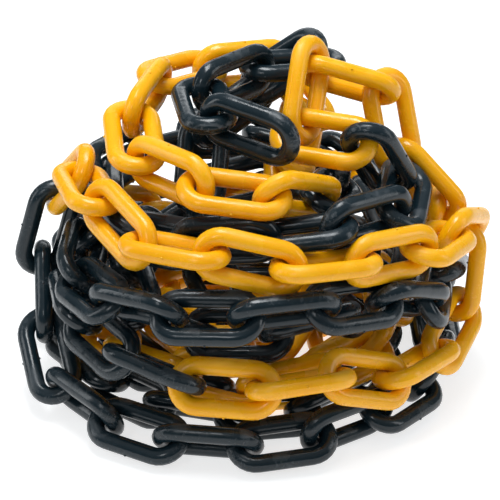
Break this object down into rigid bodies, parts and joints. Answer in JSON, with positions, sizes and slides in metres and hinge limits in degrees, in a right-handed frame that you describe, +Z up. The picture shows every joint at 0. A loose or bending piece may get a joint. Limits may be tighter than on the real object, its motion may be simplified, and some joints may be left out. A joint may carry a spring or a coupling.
{
  "type": "plastic barrier chain",
  "caption": "Length of plastic barrier chain in black and yellow sections, lying in a loose heap with one end free on top.",
  "frame": {"origin": "under the middle of the heap, on the surface that it lies on", "axes": "+Z up, -Y towards the front of the heap, +X to its right"},
  "size_m": [0.2198, 0.216, 0.1668],
  "materials": {
    "black_plastic": "moulded, glossy, lightly scuffed",
    "yellow_plastic": "moulded, glossy"
  },
  "bodies": {
    "heap": {"black_link_030": "black_plastic", "black_link_031": "black_plastic", "black_link_032": "black_plastic", "black_link_033": "black_plastic", "black_link_034": "black_plastic", "black_link_035": "black_plastic", "black_link_036": "black_plastic", "black_link_037": "black_plastic", "black_link_055": "black_plastic", "black_link_056": "black_plastic", "black_link_057": "black_plastic", "black_link_068": "black_plastic", "black_link_069": "black_plastic", "black_link_070": "black_plastic", "black_link_071": "black_plastic", "black_link_072": "black_plastic", "black_link_073": "black_plastic", "black_link_074": "black_plastic", "black_link_103": "black_plastic", "black_link_104": "black_plastic", "black_link_105": "black_plastic", "black_run_02": "black_plastic", "black_run_03": "black_plastic", "black_run_04": "black_plastic", "black_run_05": "black_plastic", "black_run_08": "black_plastic", "black_run_09": "black_plastic", "black_run_12": "black_plastic", "black_run_13": "black_plastic", "black_run_16": "black_plastic", "free_end_anchor": "black_plastic", "yellow_link_042": "yellow_plastic", "yellow_link_043": "yellow_plastic", "yellow_link_044": "yellow_plastic", "yellow_link_045": "yellow_plastic", "yellow_link_046": "yellow_plastic", "yellow_link_047": "yellow_plastic", "yellow_link_048": "yellow_plastic", "yellow_link_050": "yellow_plastic", "yellow_link_051": "yellow_plastic", "yellow_link_052": "yellow_plastic", "yellow_link_053": "yellow_plastic", "yellow_link_054": "yellow_plastic", "yellow_link_101": "yellow_plastic", "yellow_link_102": "yellow_plastic", "yellow_link_130": "yellow_plastic", "yellow_link_131": "yellow_plastic", "yellow_link_132": "yellow_plastic", "yellow_run_01": "yellow_plastic", "yellow_run_06": "yellow_plastic", "yellow_run_07": "yellow_plastic", "yellow_run_10": "yellow_plastic", "yellow_run_11": "yellow_plastic", "yellow_run_14": "yellow_plastic", "yellow_run_15": "yellow_plastic"},
    "free_link_1": {"free_end_link_1": "black_plastic"},
    "free_link_2": {"free_end_link_2": "black_plastic"},
    "free_link_3": {"free_end_link_3": "black_plastic"}
  },
  "joints": [
    {"name": "first_link_lift", "type": "hinge", "parent": "heap", "child": "free_link_1", "pos_m": [0.00022, 0.0131, 0.143], "axis": [-0.7051, 0.7091, 0], "range_deg": [0, 80]},
    {"name": "second_link_lift", "type": "hinge", "parent": "free_link_1", "child": "free_link_2", "pos_m": [-0.0168, -0.00382, 0.14258], "axis": [-0.7051, 0.7091, 0], "range_deg": [0, 55]},
    {"name": "end_link_lift", "type": "hinge", "parent": "free_link_2", "child": "free_link_3", "pos_m": [-0.01144, -0.03859, 0.1415], "axis": [-0.5313, -0.8456, -0.051], "range_deg": [0, 90]}
  ]
}
